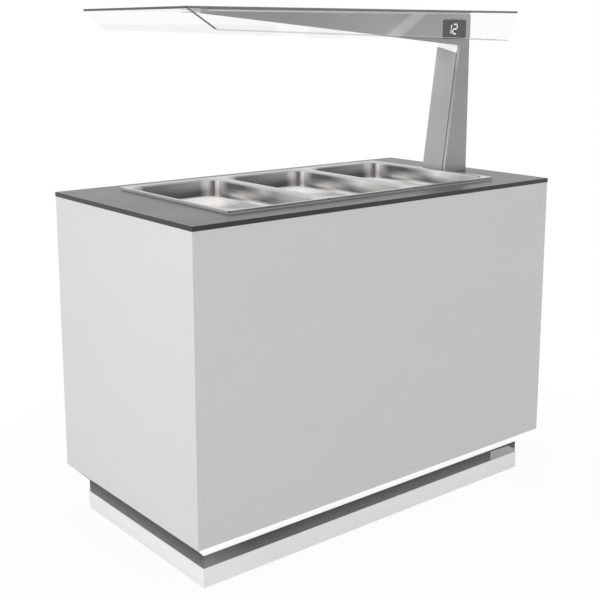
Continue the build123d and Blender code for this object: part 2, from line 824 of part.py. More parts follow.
def discharge_line():
    """From the compressor round to the top of the condenser."""
    start_x = compressor_x + compressor_radius + stub_length
    turn_x = condenser_right + discharge_line_offset
    y = condenser_middle
    top = tray_top + condenser_inlet_height
    points = [(start_x, compressor_y, stub_z), (turn_x, compressor_y, stub_z), (turn_x, y, stub_z),
              (turn_x, y, top), (condenser_right, y, top)]
    return bent_tube(points, line_radius, discharge_bend)


def control_box():
    """Sheet box behind the switch, open towards the rear board."""
    x, z = control_box_x, control_box_z
    w, h, t = control_box_width / 2, control_box_height / 2, control_box_wall
    front = inner_rear - control_box_depth
    box = block(x - w, x + w, front, inner_rear, z - h, z + h)
    return box - block(x - w + t, x + w - t, front + t, inner_rear + overshoot, z - h + t, z + h - t)


def switch_bezel():
    """Switch body through the rear board, with a pocket for the rocker."""
    x, z = control_box_x, control_box_z
    w, h, p = switch_width / 2, switch_height / 2, switch_bezel_proud
    face = rear_face + p
    body = block(x - w, x + w, rear_face, face, z - h, z + h)
    body += block(x - w + p, x + w - p, face - switch_body_depth, rear_face, z - h + p, z + h - p)
    pw = rocker_width / 2 + rocker_side_clearance
    ph = rocker_height / 2 + rocker_end_clearance
    return body - block(x - pw, x + pw, rocker_axis_y - rocker_depth, face + overshoot, z - ph, z + ph)


def switch_rocker():
    """Rocker with a dished face, shown tilted to off."""
    rocker = Box(rocker_width, rocker_depth, rocker_height)
    dish = Rot(0, 90, 0) * Cylinder(rocker_dish_radius, rocker_width + 2 * overshoot)
    rocker = rocker - Pos(0, rocker_depth / 2 + rocker_dish_radius - rocker_dish_depth, 0) * dish
    return Pos(control_box_x, rocker_axis_y, control_box_z) * Rot(-rocker_tilt, 0, 0) * rocker


def cable_gland():
    """Gland through the rear board with its cap outside and its lock nut inside."""
    x, z = gland_x, gland_z
    cap = Pos(x, rear_face, z) * Rot(-90, 0, 0) * hexagon(gland_radius, gland_nut_height)
    nut = Pos(x, inner_rear, z) * Rot(90, 0, 0) * hexagon(gland_radius, gland_nut_height)
    barrel = rod_y(x, z, inner_rear, rear_face, gland_barrel_radius)
    reach = gland_nut_height + overshoot
    return cap + nut + barrel - rod_y(x, z, inner_rear - reach, rear_face + reach, gland_bore)


def cheek(tip_x, corner, y0, y1):
    """Plate in the shape of a seven: a post that narrows upwards and a beam that tapers to its tip."""
    outline = [(post_base_left, foot_top), (post_outer_x, foot_top), (post_outer_x, beam_top),
               (tip_x, beam_top), (tip_x, beam_top - beam_tip_height), corner]
    return side_prism(outline, y0, y1)


def display_block(grow, y0, y1):
    """Rounded slab of the display's outline."""
    outline = RectangleRounded(display_width + 2 * grow, display_height + 2 * grow, display_corner + grow)
    return Pos(0, y1, 0) * extrude(Plane.XZ * Pos(display_x, display_z) * outline, amount=y1 - y0)


def front_cheek():
    """Front plate with the pocket of the display."""
    plate = cheek(beam_tip_x, (post_top_left, beam_root_bottom), -post_half, -between_cheeks)
    return plate - display_block(fit_clearance, -post_half - overshoot, -post_half + display_pocket)


def rear_cheek():
    """Shallower rear plate, cut back along the sloping side for the inner cover and the diffuser."""
    _, _, normal = inner_slope()
    back = (cover_thickness + seam) / normal.X
    strip = [(post_base_left, foot_top), (post_base_left + back, foot_top),
             (rear_top_left + back, rear_root_bottom), (rear_top_left, rear_root_bottom)]
    cut = side_prism(strip, between_cheeks - overshoot, post_half + overshoot)
    return cheek(rear_tip_x, (rear_top_left, rear_root_bottom), between_cheeks, post_half) - cut


def display_window():
    """Dark window that stands a little proud of the front cheek."""
    return display_block(0, -post_half + display_pocket - display_thickness, -post_half + display_pocket)


def inner_slope():
    """Length and plane of the post's sloping inner side, with its x along Y and its y up the slope."""
    rise = beam_root_bottom - foot_top
    run = post_top_left - post_base_left
    up = Vector(run, 0, rise).normalized()
    normal = Vector(rise, 0, -run).normalized()
    origin = Vector(post_base_left, 0, foot_top)
    return hypot(run, rise), Plane(origin=origin, x_dir=(0, -1, 0), z_dir=-normal), normal


def sloped_plate(heights):
    """Plate flush with the sloping side, from four (y, height) corners."""
    _, plane, normal = inner_slope()
    face = plane * make_face(Polyline(*[(-y, h) for y, h in heights], close=True))
    plate = extrude(face, amount=cover_thickness, dir=normal)
    return plate & block(post_base_left, post_outer_x, -post_half, post_half, foot_top, rear_root_bottom)


def post_inner_cover():
    """Cover on the sloping side over the rear cheek, cut off at a slant below the beam."""
    slope, _, _ = inner_slope()
    return sloped_plate([(cover_front, 0), (post_half, 0), (post_half, slope - cover_top_gap_rear),
                         (cover_front, slope - cover_top_gap_front)])


def corner_diffuser():
    """White diffuser that fills the corner between the inner cover and the beam."""
    slope, _, _ = inner_slope()
    top = slope + rear_beam_rise + cover_thickness
    low = slope + seam
    return sloped_plate([(cover_front, low - cover_top_gap_front), (post_half, low - cover_top_gap_rear),
                         (post_half, top), (cover_front, top)])


def post_outer_cover():
    """Upright cover between the cheeks on the outer side."""
    half = cover_half
    x1 = post_outer_x - cover_thickness
    return block(x1 - cover_thickness, x1, -half, half, foot_top, beam_top - beam_plate_thickness - seam)


def beam_top_plate():
    """Thin plate between the cheeks along the top of the beam."""
    half = cover_half
    return block(beam_tip_x, post_outer_x, -half, half, beam_top - beam_plate_thickness, beam_top)


def beam_underside(x):
    """Height of the rear cheek's lower edge at one place along the beam."""
    return beam_top - beam_tip_height - beam_slope * (x - rear_tip_x)


def beam_diffuser():
    """Light diffuser set between the cheeks along the beam's underside."""
    half = cover_half
    x0, x1 = rear_tip_x + beam_diffuser_inset, post_top_left - seam
    low = beam_diffuser_recess
    high = low + beam_diffuser_thickness
    outline = [(x0, beam_underside(x0) + low), (x1, beam_underside(x1) + low),
               (x1, beam_underside(x1) + high), (x0, beam_underside(x0) + high)]
    return side_prism(outline, -half, half)


def bolt_places():
    """Four bolts that hold the post's foot through the worktop."""
    x = (anchor_left + anchor_right) / 2
    return [(x + sx * bolt_spread_x / 2, sy * bolt_spread_y / 2) for sx in (-1, 1) for sy in (-1, 1)]


def bolt_holes(z0, z1):
    """Clearance holes of the four bolts."""
    return [rod(x, y, z0, z1, bolt_radius + fit_clearance) for x, y in bolt_places()]


def post_foot():
    """Foot plate under the cheeks and covers, with its bolt holes."""
    plate = block(post_base_left, post_outer_x, -post_half, post_half, worktop_height, foot_top)
    return plate - bolt_holes(worktop_height - overshoot, foot_top + overshoot)


def post_anchor():
    """Plate under the worktop that takes the post's bolts."""
    plate = block(anchor_left, anchor_right, -post_half, post_half, anchor_bottom, worktop_bottom)
    return plate - bolt_holes(anchor_bottom - overshoot, worktop_bottom + overshoot)


def post_bolts():
    """Bolts from above the foot to nuts under the anchor."""
    bolts = []
    top, low = foot_top + bolt_head_height, anchor_bottom - bolt_head_height
    for x, y in bolt_places():
        head = rod(x, y, foot_top, top, bolt_head_radius)
        nut = Pos(x, y, low) * hexagon(bolt_head_radius, bolt_head_height)
        bolts.append(head + nut + rod(x, y, low, top, bolt_radius))
    return bolts


def glass_discs():
    """Bonded discs between the beam and the top glass."""
    first = beam_tip_x + glass_disc_inset
    pitch = (post_outer_x - glass_disc_outer_gap - first) / (glass_disc_count - 1)
    places = [first + i * pitch for i in range(glass_disc_count)]
    return [rod(x, 0, beam_top, glass_bottom, glass_disc_radius) for x in places]


def top_glass():
    """Flat top pane with polished edges."""
    x, y = glass_half_x, glass_half_y
    return chamfer(block(-x, x, -y, y, glass_bottom, overall_height).edges(), glass_edge)


def hanging_glass(side):
    """Narrow pane under one long edge of the top glass: it leans out, and is deeper at the post's end."""
    edge = glass_half_y
    drop = max(pane_drop_left, pane_drop_right) + glass_thickness
    low = glass_bottom - drop
    lean = pane_lean * drop
    section = [(side * edge, glass_bottom), (side * (edge - glass_thickness), glass_bottom),
               (side * (edge - glass_thickness + lean), low), (side * (edge + lean), low)]
    half = glass_half_x
    left_end, right_end = pane_end_cut - half, half - pane_end_cut
    outline = [(-half, glass_bottom), (half, glass_bottom), (right_end, glass_bottom - pane_drop_right),
               (left_end, glass_bottom - pane_drop_left)]
    return end_prism(section, -half, half) & side_prism(outline, -half_depth, half_depth)


def upright_profile(setback, z0, z1):
    """Upright board of the plinth between two heights."""
    return [(setback, z0), (plinth_inner, z0), (plinth_inner, z1), (setback, z1)]


def skirt_profile():
    """Wedge from the body's lower edge inwards to the plinth."""
    return [(skirt_setback, body_bottom), (plinth_inner, body_bottom), (plinth_inner, band_top),
            (plinth_setback, band_top)]


def light_profiles():
    """Front wedge cut along its slope into the housing and the diffuser."""
    slant = diffuser_thickness * hypot(plinth_setback - skirt_setback, body_bottom - band_top)
    across = slant / (body_bottom - band_top)
    housing = [(skirt_setback + across, body_bottom), (plinth_inner, body_bottom), (plinth_inner, band_top),
               (plinth_setback + across, band_top)]
    diffuser = [(skirt_setback, body_bottom), (skirt_setback + across, body_bottom),
                (plinth_setback + across, band_top), (plinth_setback, band_top)]
    return housing, diffuser


def build():
    """Writes every node."""
    os.makedirs("parts", exist_ok=True)
    sides = ("front", "rear", "left", "right")
    kick = upright_profile(plinth_setback, kick_floor_gap, band_bottom)
    save("kick_boards", *[plinth_run(kick, side) for side in sides])
    band = upright_profile(plinth_setback + band_recess, band_bottom, band_top)
    save("plinth_band", *[plinth_run(band, side) for side in sides])
    save("side_skirts", *[plinth_run(skirt_profile(), side) for side in sides[1:]])
    housing, diffuser = light_profiles()
    save("light_housing", plinth_run(housing, "front"))
    save("light_diffuser", plinth_run(diffuser, "front"))
    corners = [(sx * cross_tube_x, sy * foot_y) for sx in (-1, 1) for sy in (-1, 1)]
    save("levelling_feet", *[levelling_foot(x, y) for x, y in corners])
    save("base_frame", *base_frame())
    save("top_frame", *frame_ring(top_frame_bottom, worktop_bottom))
    save("corner_uprights", *corner_uprights())
    floor_x, floor_y0, floor_y1 = inner_x - frame_width, inner_front + frame_width, inner_rear - frame_width
    save("bottom_panel", block(-floor_x, floor_x, floor_y0, floor_y1, base_frame_top, tray_bottom))
    save("front_panel", front_panel())
    save("left_panel", left_panel())
    save("right_panel", mirror(left_panel(), about=Plane.YZ))
    save("rear_panel_left", rear_panel_left())
    save("rear_panel_right", rear_panel_right())
    save("service_door", service_door())
    save("door_hinge_leaves", *door_hinge_leaves())
    save("frame_hinge_leaves", *frame_hinge_leaves())
    save("latch", latch())
    save("worktop", worktop())
    save("well_tub", well_tub())
    save("well_insulation", well_insulation())
    save("well_casing", lining(insulation_thickness, insulation_bottom, casing_wall, casing_wall))
    save("evaporator_coil", evaporator_coil())
    save("drain_pipe", drain_pipe())
    save("drain_valve", drain_valve())
    save("drain_lever", drain_lever())
    save("pan_bars", *pan_bars())
    for i in range(pan_count):
        save("pan_%d" % (i + 1), pan((i - (pan_count - 1) / 2) * pan_pitch))
    save("unit_tray", unit_tray())
    save("compressor", compressor())
    save("condenser", condenser())
    save("fan_shroud", fan_shroud())
    save("fan_rotor", fan_rotor())
    save("fan_motor", fan_motor())
    save("suction_line", suction_line())
    save("liquid_line", liquid_line())
    save("discharge_line", discharge_line())
    save("control_box", control_box())
    save("switch_bezel", switch_bezel())
    save("switch_rocker", switch_rocker())
    save("cable_gland", cable_gland())
    save("front_cheek", front_cheek())
    save("rear_cheek", rear_cheek())
    save("post_inner_cover", post_inner_cover())
    save("post_outer_cover", post_outer_cover())
    save("corner_diffuser", corner_diffuser())
    save("beam_top_plate", beam_top_plate())
    save("beam_diffuser", beam_diffuser())
    save("display_window", display_window())
    save("post_foot", post_foot())
    save("post_anchor", post_anchor())
    save("post_bolts", *post_bolts())
    save("glass_discs", *glass_discs())
    save("top_glass", top_glass())
    save("front_glass", hanging_glass(-1))
    save("rear_glass", hanging_glass(1))


build()
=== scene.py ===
import math
from types import SimpleNamespace

import bmesh
import bpy
from mathutils import Matrix, Vector


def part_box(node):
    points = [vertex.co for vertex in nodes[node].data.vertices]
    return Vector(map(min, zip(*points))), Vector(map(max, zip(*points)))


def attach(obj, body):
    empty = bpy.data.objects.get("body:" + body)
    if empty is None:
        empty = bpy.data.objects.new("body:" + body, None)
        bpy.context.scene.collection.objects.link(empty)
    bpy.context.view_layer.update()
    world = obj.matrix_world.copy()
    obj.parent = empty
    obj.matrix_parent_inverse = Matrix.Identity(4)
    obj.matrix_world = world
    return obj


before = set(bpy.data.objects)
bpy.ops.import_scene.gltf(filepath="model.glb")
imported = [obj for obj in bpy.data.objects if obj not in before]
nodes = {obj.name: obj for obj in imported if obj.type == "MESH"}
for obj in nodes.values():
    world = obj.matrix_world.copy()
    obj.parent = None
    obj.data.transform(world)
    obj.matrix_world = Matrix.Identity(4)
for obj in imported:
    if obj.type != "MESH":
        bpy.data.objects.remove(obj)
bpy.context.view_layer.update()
scene = bpy.context.scene
scene.view_settings.view_transform = "Standard"


# Camera, solved from the edges of the photograph
def add_camera():
    downward, turn = 10.827, -39.132
    data = bpy.data.cameras.new("camera")
    data.sensor_width = 36
    data.lens = 63.68
    data.shift_x = 0.0015
    data.shift_y = -0.1115
    data.clip_end = 60
    camera = bpy.data.objects.new("camera", data)
    camera.location = (-1.9661, -2.3544, 1.3827)
    camera.rotation_euler = (math.radians(90 - downward), 0, math.radians(turn))
    scene.collection.objects.link(camera)
    scene.camera = camera


# Material helpers
class Shader:
    """A node material with its Principled shader and a few short ways to add nodes."""

    def __init__(self, name):
        self.material = bpy.data.materials.new(name)
        self.material.use_nodes = True
        self.tree = self.material.node_tree
        self.bsdf = self.tree.nodes["Principled BSDF"]
        source = self.add("ShaderNodeTexCoord")
        self.place = source.outputs["Object"]
        self.facing = source.outputs["Normal"]

    def add(self, kind, **values):
        node = self.tree.nodes.new(kind)
        for key, value in values.items():
            setattr(node, key, value)
        return node

    def link(self, source, target):
        self.tree.links.new(source, target)

    def feed(self, value, socket):
        """Links a socket, or sets a plain value."""
        if isinstance(value, bpy.types.NodeSocket):
            self.link(value, socket)
        else:
            socket.default_value = value

    def set(self, **values):
        """Feeds inputs of the Principled shader, with an underscore for each space in their names."""
        for key, value in values.items():
            self.feed(value, self.bsdf.inputs[key.replace("_", " ")])

    def axis(self, vector, letter):
        node = self.add("ShaderNodeSeparateXYZ")
        self.link(vector, node.inputs[0])
        return node.outputs[letter]

    def noise(self, scale, stretch=(1, 1, 1), detail=4):
        mapping = self.add("ShaderNodeMapping")
        mapping.inputs["Scale"].default_value = stretch
        self.link(self.place, mapping.inputs["Vector"])
        noise = self.add("ShaderNodeTexNoise")
        for key, value in (("Scale", scale), ("Detail", detail), ("Roughness", 0.55)):
            noise.inputs[key].default_value = value
        self.link(mapping.outputs["Vector"], noise.inputs["Vector"])
        return noise.outputs["Fac"]

    def ramp(self, source, start, end, low=0.0, high=1.0):
        """Straight change from low at the start to high at the end, level beyond both."""
        node = self.add("ShaderNodeMapRange")
        for key, value in (("From Min", start), ("From Max", end), ("To Min", low), ("To Max", high)):
            node.inputs[key].default_value = value
        self.link(source, node.inputs["Value"])
        return node.outputs["Result"]

    def spread(self, noise, low, high):
        """Maps the middle of a noise to the range from low to high."""
        middle_start, middle_end = 0.3, 0.7
        return self.ramp(noise, middle_start, middle_end, low, high)

    def mix(self, factor, a, b):
        """Colour between a and b, where a plain number is a grey."""
        factor_in, a_in, b_in, colour_out = 0, 6, 7, 2
        node = self.add("ShaderNodeMix", data_type="RGBA")
        self.feed(factor, node.inputs[factor_in])
        for value, place in ((a, a_in), (b, b_in)):
            self.feed(rgba(grey(value)) if isinstance(value, float) else value, node.inputs[place])
        return node.outputs[colour_out]

    def math(self, operation, a, b=0.0):
        node = self.add("ShaderNodeMath", operation=operation)
        self.feed(a, node.inputs[0])
        self.feed(b, node.inputs[1])
        return node.outputs[0]

    def product(self, first, *others):
        for other in others:
            first = self.math("MULTIPLY", first, other)
        return first

    def measure(self, operation, *vectors):
        """Number that a vector operation gives, such as a length or a dot product."""
        node = self.add("ShaderNodeVectorMath", operation=operation)
        for vector, socket in zip(vectors, node.inputs):
            self.feed(vector, socket)
        return node.outputs["Value"]

    def curve(self, source, *spots):
        """Greys at given places along a source that runs from nought to one."""
        node = self.add("ShaderNodeValToRGB")
        points = node.color_ramp.elements
        while len(points) < len(spots):
            points.new(1.0)
        for point, (place, value) in zip(points, spots):
            point.position = place
            point.color = rgba(grey(value))
        self.link(source, node.inputs["Fac"])
        return node.outputs["Color"]

    def tint(self, colour, tone):
        """Colour made lighter or darker by a tone."""
        node = self.add("ShaderNodeVectorMath", operation="SCALE")
        self.feed(colour, node.inputs[0])
        self.link(tone, node.inputs["Scale"])
        return node.outputs["Vector"]

    def bump(self, height, strength, distance, normal=None):
        node = self.add("ShaderNodeBump")
        if normal is not None:
            self.link(normal, node.inputs["Normal"])
        node.inputs["Strength"].default_value = strength
        node.inputs["Distance"].default_value = distance
        self.link(height, node.inputs["Height"])
        self.link(node.outputs["Normal"], self.bsdf.inputs["Normal"])


def rgba(colour, factor=1.0):
    return (colour[0] * factor, colour[1] * factor, colour[2] * factor, 1)


def grey(value):
    return (value, value, value)


# Boards, metals and plastics
def surface(name, colour, rough, metallic=0.0, vary=0.05, scale=9, stretch=(1, 1, 1), grain=900,
            grain_stretch=(1, 1, 1), bump=0.08, depth=0.0004, **extra):
    """Base colour with soft clouding and fine grain, uneven gloss and a fine bump."""
    grain_cover, grain_dark, gloss_scale, gloss_vary = 0.35, 1.6, 2.3, 0.05
    s = Shader(name)
    fine = s.noise(grain, grain_stretch, detail=3)
    cloud = s.spread(s.noise(scale, stretch), 0, 1)
    tone = s.mix(cloud, rgba(colour, 1 - vary), rgba(colour, 1 + vary))
    tone = s.mix(s.spread(fine, 0.0, grain_cover), tone, rgba(colour, 1 - grain_dark * vary))
    gloss = s.spread(s.noise(scale * gloss_scale, stretch), rough - gloss_vary, rough + gloss_vary)
    s.set(Base_Color=tone, Roughness=gloss, Metallic=metallic, **extra)
    s.bump(fine, bump, depth)
    return s.material


def lit_plastic(name, colour, strength):
    """Milky diffuser with light behind it, a little uneven along its length."""
    s = Shader(name)
    tone = s.mix(s.spread(s.noise(6), 0, 1), rgba(colour, 0.96), rgba(colour))
    gloss = s.spread(s.noise(14), 0.42, 0.55)
    s.set(Base_Color=tone, Emission_Color=tone, Emission_Strength=strength, Roughness=gloss)
    s.bump(s.noise(1400, detail=2), 0.04, 0.0003)
    return s.material


def painted_shade_dark_board(name, colour):
    """Dark satin board with painted shade, darkest at the top under the body, and painted light that makes
    it paler low down and beside the left-hand end of its front.
    """
    painted_shade_top, painted_light_foot, painted_light_gain, painted_light_width = 0.4, 1.9, 1.6, 0.15
    low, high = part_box("plinth_band")
    s = Shader(name)
    fine = s.noise(900, detail=3)
    cloud = s.product(s.spread(s.noise(12), 0.94, 1.06), s.spread(fine, 1.0, 0.97))
    front = s.ramp(s.axis(s.facing, "Y"), -0.5, -0.9)
    # Painted light beside the left-hand end of the front
    end = s.product(front, s.ramp(s.axis(s.place, "X"), low.x, low.x + painted_light_width, painted_light_gain, 0.0))
    # Painted shade, darkest at the top under the body, and painted light, paler low down
    painted_shade_fade = s.ramp(s.axis(s.place, "Z"), high.z, low.z, painted_shade_top, painted_light_foot)
    tone = s.product(cloud, s.math("ADD", end, painted_shade_fade))
    s.set(Base_Color=s.tint(colour, tone), Roughness=s.spread(s.noise(27), 0.4, 0.5))
    s.bump(fine, 0.08, 0.0004)
    return s.material


def worktop_slab():
    """Fine-grained grey slab with a satin top, and painted shade on its edges, which take a darker grey than
    the top for the dark surroundings that they reflect.
    """
    top_colour, painted_shade_edge_grey, cloud_grey, cloud_cover = (0.06, 0.0595, 0.058), 0.012, 0.045, 0.16
    s = Shader("worktop")
    top = s.ramp(s.axis(s.facing, "Z"), 0.75, 0.95)
    # Painted shade: faces that do not look up take the darker edge grey
    tone = s.mix(top, painted_shade_edge_grey, rgba(top_colour))
    tone = s.mix(s.spread(s.noise(3.5), 0.0, cloud_cover), tone, cloud_grey)
    speck = s.spread(s.noise(950, detail=2), 0.94, 1.06)
    s.set(Base_Color=s.tint(tone, speck), Roughness=s.spread(s.noise(6), 0.31, 0.37))
    s.bump(s.noise(1300, detail=2), 0.015, 0.0002)
    return s.material


# Pans
def pan_places(s, node):
    """Where a place lies on a pan, and how far it has turned round a corner."""
    corner_reach = 0.067
    low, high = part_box(node)
    middle = (low + high) / 2
    across, along, height = (s.axis(s.place, letter) for letter in "XYZ")
    from_x = s.math("SUBTRACT", across, middle.x)
    from_y = s.math("SUBTRACT", along, middle.y)
    beside = s.math("SUBTRACT", s.math("ABSOLUTE", from_x), high.x - middle.x - corner_reach)
    beyond = s.math("SUBTRACT", s.math("ABSOLUTE", from_y), high.y - middle.y - corner_reach)
    angle = s.math("ARCTAN2", s.math("MAXIMUM", beside, 0.0), s.math("MAXIMUM", beyond, 0.0))
    return SimpleNamespace(low=low, high=high, middle=middle, across=across, along=along, height=height,
                           from_x=from_x, from_y=from_y, angle=angle)


def pan_depth(s, at, start, end):
    """Grows from nought to one between two depths below the rim."""
    return s.ramp(at.height, at.high.z - start, at.high.z - end)


def pan_normal(s, at):
    """Direction that the surface faces, taken from the pan's form on its inner side."""
    bend, round_floor, draft, sheet, likeness = 0.0087, 0.0098, 0.07, 0.0012, 0.3
    floor = at.low.z + sheet
    rim_bend = s.ramp(at.height, at.high.z - bend, at.high.z)
    floor_bend = s.ramp(at.height, floor + round_floor, floor)
    upward = s.math("MAXIMUM", s.math("MAXIMUM", rim_bend, floor_bend), draft)
    level = s.math("SQRT", s.math("SUBTRACT", 1.0, s.product(upward, upward)))
    inward = s.add("ShaderNodeCombineXYZ")
    for letter, offset, wave in (("X", at.from_x, "SINE"), ("Y", at.from_y, "COSINE")):
        part = s.product(s.math("SIGN", offset), s.math(wave, at.angle), level, -1.0)
        s.link(part, inward.inputs[letter])
    s.link(upward, inward.inputs["Z"])
    inward = inward.outputs["Vector"]
    inner = s.math("GREATER_THAN", s.measure("DOT_PRODUCT", s.facing, inward), likeness)
    return s.mix(inner, s.facing, inward)


def pan_painted_walls(s, at, painted_gleam):
    """Painted reflections, highlights and shade on the end walls, the rounded corners and the side walls,
    from the rim down
    to the floor: painted highlight streaks in the corners and painted dark reflections on the walls.
    """
    rear_corner, front_corner, turn_start, turn_end = 0.065, 0.465, 0.05, 0.95
    end_low, end_foot = 0.09, 0.06
    down, foot = pan_depth(s, at, 0.016, 0.038), pan_depth(s, at, 0.040, 0.046)
    halfway, lower = pan_depth(s, at, 0.017, 0.029), pan_depth(s, at, 0.030, 0.038)
    turn = s.math("DIVIDE", at.angle, math.pi / 2)
    share = s.ramp(at.across, at.low.x, at.high.x)
    back = s.ramp(at.along, at.high.y - rear_corner, at.high.y - front_corner)
    end_wall = s.mix(down, s.curve(share, (0.35, 0.18), (0.85, 0.40)), end_low)
    end_wall = s.mix(foot, end_wall, end_foot)
    # Painted highlight streaks and painted dark reflections round each corner
    high_corner = s.curve(turn, (0.05, 0.41), (0.14, 0.55), (0.32, 0.63), (0.41, 0.49), (0.50, 0.17),
                          (0.60, 0.12), (0.66, 0.64), (0.77, 0.80), (0.86, 0.50), (0.95, 0.55))
    low_corner = s.curve(turn, (0.05, 0.10), (0.14, 0.16), (0.32, 0.33), (0.41, 0.27), (0.50, 0.15),
                         (0.60, 0.12), (0.67, 0.44), (0.77, 0.58), (0.86, 0.33), (0.95, 0.31))
    corner = s.mix(down, high_corner, low_corner)
    # Painted highlights and painted dark reflections along the side walls
    high_side = s.curve(back, (0.0, 0.44), (0.07, 0.12), (0.25, 0.11), (0.38, 0.30), (0.50, 0.60),
                        (0.62, painted_gleam), (0.75, 0.35 + 0.42 * painted_gleam), (0.88, 0.58))
    middle_side = s.curve(back, (0.0, 0.38), (0.08, 0.20), (0.15, 0.26), (0.25, 0.52), (0.38, 0.52),
                          (0.50, 0.26), (0.62, 0.48 * painted_gleam), (0.75, 0.35 + 0.2 * painted_gleam))
    low_side = s.curve(back, (0.0, 0.32), (0.08, 0.30), (0.15, 0.62), (0.25, 0.74), (0.38, 0.34),
                       (0.52, 0.13), (0.70, 0.34))
    side_foot = s.curve(back, (0.0, 0.20), (0.08, 0.12), (0.15, 0.24), (0.25, 0.42), (0.38, 0.80),
                        (0.60, 0.80))
    side = s.mix(lower, s.mix(halfway, high_side, middle_side), low_side)
    side = s.mix(foot, side, side_foot)
    wall = s.mix(s.ramp(turn, 0.0, turn_start), end_wall, corner)
    return s.mix(s.ramp(turn, turn_end, 1.0), wall, side)


def pan_painted_pool(s, at):
    """Share of the painted pool of light on the floor, towards the rear on the right, with a cloudy border.
    """
    from_middle, from_rear, full_radius, end_radius = 0.075, 0.080, 0.05, 0.14
    centre = (at.middle.x + from_middle, at.high.y - from_rear, at.low.z)
    cloud = s.spread(s.noise(11, (1, 0.6, 1)), -0.02, 0.02)
    reach = s.math("ADD", s.measure("DISTANCE", s.place, centre), cloud)
    return s.ramp(reach, full_radius, end_radius, 1.0, 0.0)


def pan_rim_painted_hem(s, at, flat):
    """Tone of the rim's flat top and of its hem, with painted shade on the hem in front and painted light on
    it on the left.
    """
    top, hem, front, left = 0.6, 0.55, 0.28, 0.95
    front_start, front_full, left_start, left_full = 0.005, 0.003, 0.0010, 0.0005
    # Painted shade on the front of the hem, painted light on its left
    on_front = s.ramp(at.along, at.low.y + front_start, at.low.y + front_full)
    on_left = s.ramp(at.across, at.low.x + left_start, at.low.x + left_full)
    return s.mix(flat, s.mix(on_left, s.mix(on_front, hem, front), left), top)


def pan_steel(node, painted_gleam):
    """Pressed steel of one pan, with painted light and shade: a bright rim, painted shade along and down the
    walls, painted highlight streaks in the corners and a floor with a painted pool of light. The
    painted_gleam argument is the tone of the brightest painted highlight high on its side walls.
    """
    warm_white, floor_tone, painted_pool_tone, grain_tone = (1.0, 0.98, 0.95), 0.5, 1.0, 0.3
    rim_metal, inner_metal, painted_pool_metal_loss = 1.0, 0.25, 0.25
    s = Shader(node + "_steel")
    at = pan_places(s, node)
    normal = pan_normal(s, at)
    flat = s.ramp(s.axis(normal, "Z"), 0.6, 0.97)
    inside = pan_depth(s, at, 0.002, 0.007)
    # Painted pool of light on the floor
    pool = pan_painted_pool(s, at)
    inner = s.mix(flat, pan_painted_walls(s, at, painted_gleam), s.mix(pool, floor_tone, painted_pool_tone))
    tone = s.mix(inside, pan_rim_painted_hem(s, at, flat), inner)
    fine = s.noise(1100, (1, 0.05, 1), detail=3)
    tone = s.mix(s.spread(fine, 0.0, 0.03), tone, grain_tone)
    # Less metal inside, and least in the painted pool of light, so that the painted tones show
    metal = s.math("SUBTRACT", s.ramp(inside, 0, 1, rim_metal, inner_metal),
                   s.product(pool, flat, inside, painted_pool_metal_loss))
    s.set(Base_Color=s.tint(warm_white, tone), Metallic=metal, Roughness=s.spread(s.noise(9), 0.285, 0.33))
    s.bump(s.noise(30, detail=1), 0.02, 0.0004, normal)
    return s.material


# Post and beam
def cheek_painted_sheen(s, across, height):
    """Cover of a painted highlight: a slanting sheen to the left of the display."""
    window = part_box("display_window")[0]
    slant, from_window, full_width, painted_light_width, cover = 1.6, 0.221, 0.022, 0.042, 0.4
    slope = s.math("SUBTRACT", across, s.math("MULTIPLY", height, slant))
    middle = window.x - from_window - slant * window.z
    away = s.math("ABSOLUTE", s.math("SUBTRACT", slope, middle))
    return s.ramp(away, painted_light_width, full_width, 0.0, cover)


def cheek_painted_light(s, across, height, foot):
    """Tone of a cheek, painted light and shade: lighter low on the post and along the beam towards the
    sheen, darker past it.
    """
    post_reach, beam_reach, sheen_start, sheen_end = 0.28, 0.62, 0.21, 0.17
    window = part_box("display_window")[0].x
    post = s.ramp(height, foot, foot + post_reach, 1.28, 1.0)
    beam = s.ramp(across, window - beam_reach, window - sheen_start, 0.87, 1.16)
    beam_end = s.ramp(across, window - sheen_start, window - sheen_end, 1.0, 0.86)
    return s.product(post, s.product(beam, beam_end))


def cheek_painted_edge_light(s, height, colour):
    """Colour of the edges turned to the left, with painted light that is lightest beside the lamp in the
    corner.
    """
    glow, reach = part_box("corner_diffuser")[0].z, 0.06
    return s.mix(s.ramp(height, glow - reach, glow), rgba(colour, 1.3), rgba(colour, 2.0))


